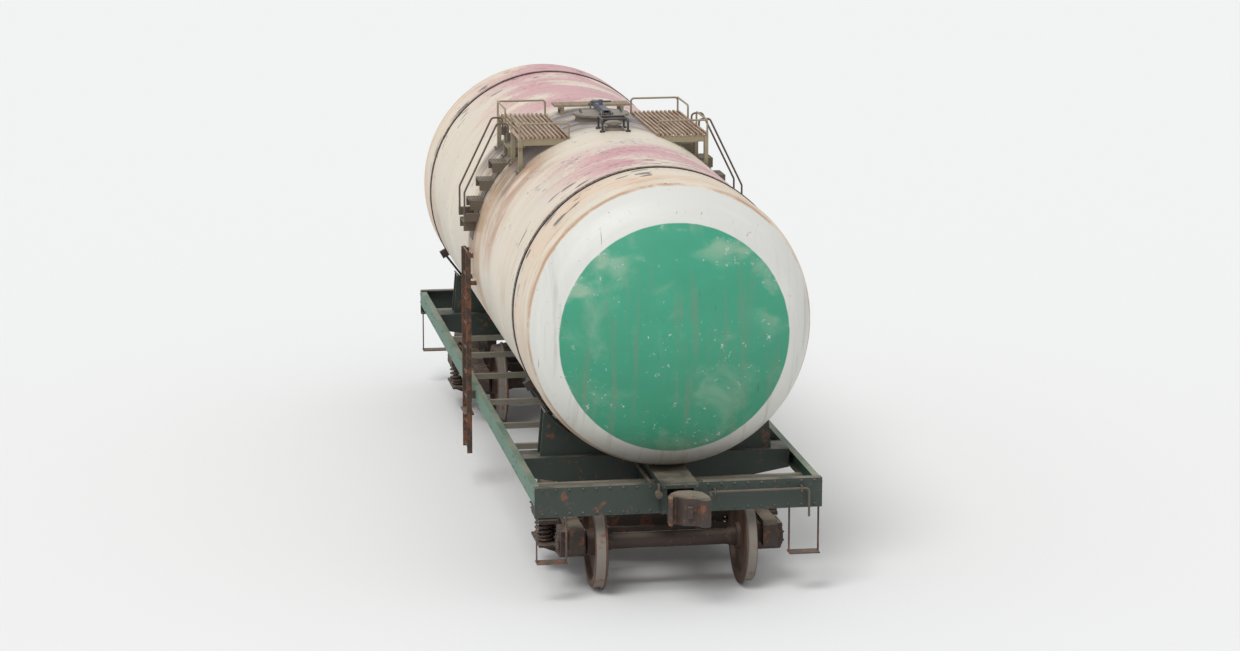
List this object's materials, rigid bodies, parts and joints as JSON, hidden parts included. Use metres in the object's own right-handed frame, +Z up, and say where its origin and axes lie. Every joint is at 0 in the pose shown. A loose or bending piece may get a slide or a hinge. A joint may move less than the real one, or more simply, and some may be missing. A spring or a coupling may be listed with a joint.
{
  "type": "railway tank car",
  "caption": "Railway tank car: dished-head tank on an open underframe, top hatch with side platforms and ladders, knuckle couplers and bogies whose wheelsets roll.",
  "frame": {"origin": "on the floor at the lowest points of the wheel flanges, midway between the bogies and midway across", "axes": "+X along the car towards its rear end, +Y towards its left side, +Z up"},
  "size_m": [12.23, 3.25, 4.5033],
  "materials": {
    "tank_paint": "cream paint, stained by spilt load, heads white with a green disc",
    "dome_paint": "weathered grey-cream paint with dirt",
    "arm_steel": "worn blue-grey paint",
    "platform_paint": "khaki paint with rust on the slats",
    "handrail_paint": "dark worn paint",
    "ladder_paint": "rust-brown paint",
    "strap_steel": "black-brown rusted steel",
    "wood_block": "dark oiled timber",
    "frame_paint": "dark dirty paint",
    "cross_bar_paint": "pale dusty paint",
    "side_sill_paint": "faded grey-green paint",
    "cast_steel": "dark rusted casting",
    "spring_steel": "rusted spring steel",
    "wheel_steel": "rusted wheel with a bright tread"
  },
  "bodies": {
    "car_body": {"tank_shell": "tank_paint", "hatch_neck": "dome_paint", "safety_valve": "dome_paint", "bench_step": "platform_paint", "platform_left": "platform_paint", "platform_right": "platform_paint", "tank_steps": "platform_paint", "handrails": "handrail_paint", "lower_ladder_left": "ladder_paint", "lower_ladder_right": "ladder_paint", "tie_straps": "strap_steel", "saddle_blocks": "wood_block", "mid_lugs": "frame_paint", "centre_sill": "frame_paint", "bolster_front": "frame_paint", "bolster_rear": "frame_paint", "cross_bars": "cross_bar_paint", "side_sill_left": "side_sill_paint", "side_sill_right": "side_sill_paint", "end_beam_front": "frame_paint", "end_beam_rear": "frame_paint", "draft_gears": "cast_steel", "uncoupling_levers": "handrail_paint", "corner_steps": "ladder_paint", "discharge_valve": "frame_paint", "brake_cylinder": "frame_paint", "air_reservoir": "frame_paint", "air_distributor": "frame_paint", "brake_pipe": "handrail_paint", "brake_rods": "cast_steel", "hand_brake": "handrail_paint"},
    "hatch_lid": {"hatch_lid": "dome_paint", "hatch_arm": "arm_steel"},
    "coupler_front": {"coupler_front": "cast_steel"},
    "coupler_rear": {"coupler_rear": "cast_steel"},
    "bogie_front": {"bogie_front_side_frames": "cast_steel", "bogie_front_bolster": "cast_steel", "bogie_front_springs": "spring_steel", "bogie_front_axle_boxes": "cast_steel", "bogie_front_brake_beams": "cast_steel"},
    "bogie_rear": {"bogie_rear_side_frames": "cast_steel", "bogie_rear_bolster": "cast_steel", "bogie_rear_springs": "spring_steel", "bogie_rear_axle_boxes": "cast_steel", "bogie_rear_brake_beams": "cast_steel"},
    "wheelset_1": {"wheelset_1": "wheel_steel"},
    "wheelset_2": {"wheelset_2": "wheel_steel"},
    "wheelset_3": {"wheelset_3": "wheel_steel"},
    "wheelset_4": {"wheelset_4": "wheel_steel"}
  },
  "joints": [
    {"name": "hatch_open", "type": "hinge", "parent": "car_body", "child": "hatch_lid", "pos_m": [-0.67, 0, 4.397], "axis": [0, -1, 0], "range_deg": [0, 105]},
    {"name": "coupler_front_swing", "type": "hinge", "parent": "car_body", "child": "coupler_front", "pos_m": [-5.15, 0, 1.088], "axis": [0, 0, 1], "range_deg": [-9, 9]},
    {"name": "bogie_front_turn", "type": "hinge", "parent": "car_body", "child": "bogie_front", "pos_m": [-3.9, 0, 0.829], "axis": [0, 0, 1], "range_deg": [-4, 4]},
    {"name": "wheelset_1_roll", "type": "hinge", "parent": "bogie_front", "child": "wheelset_1", "pos_m": [-4.825, 0, 0.503], "axis": [0, 1, 0], "continuous": true},
    {"name": "wheelset_2_roll", "type": "hinge", "parent": "bogie_front", "child": "wheelset_2", "pos_m": [-2.975, 0, 0.503], "axis": [0, 1, 0], "continuous": true},
    {"name": "coupler_rear_swing", "type": "hinge", "parent": "car_body", "child": "coupler_rear", "pos_m": [5.15, 0, 1.088], "axis": [0, 0, 1], "range_deg": [-9, 9]},
    {"name": "bogie_rear_turn", "type": "hinge", "parent": "car_body", "child": "bogie_rear", "pos_m": [3.9, 0, 0.829], "axis": [0, 0, 1], "range_deg": [-4, 4]},
    {"name": "wheelset_3_roll", "type": "hinge", "parent": "bogie_rear", "child": "wheelset_3", "pos_m": [2.975, 0, 0.503], "axis": [0, 1, 0], "continuous": true},
    {"name": "wheelset_4_roll", "type": "hinge", "parent": "bogie_rear", "child": "wheelset_4", "pos_m": [4.825, 0, 0.503], "axis": [0, 1, 0], "continuous": true}
  ]
}
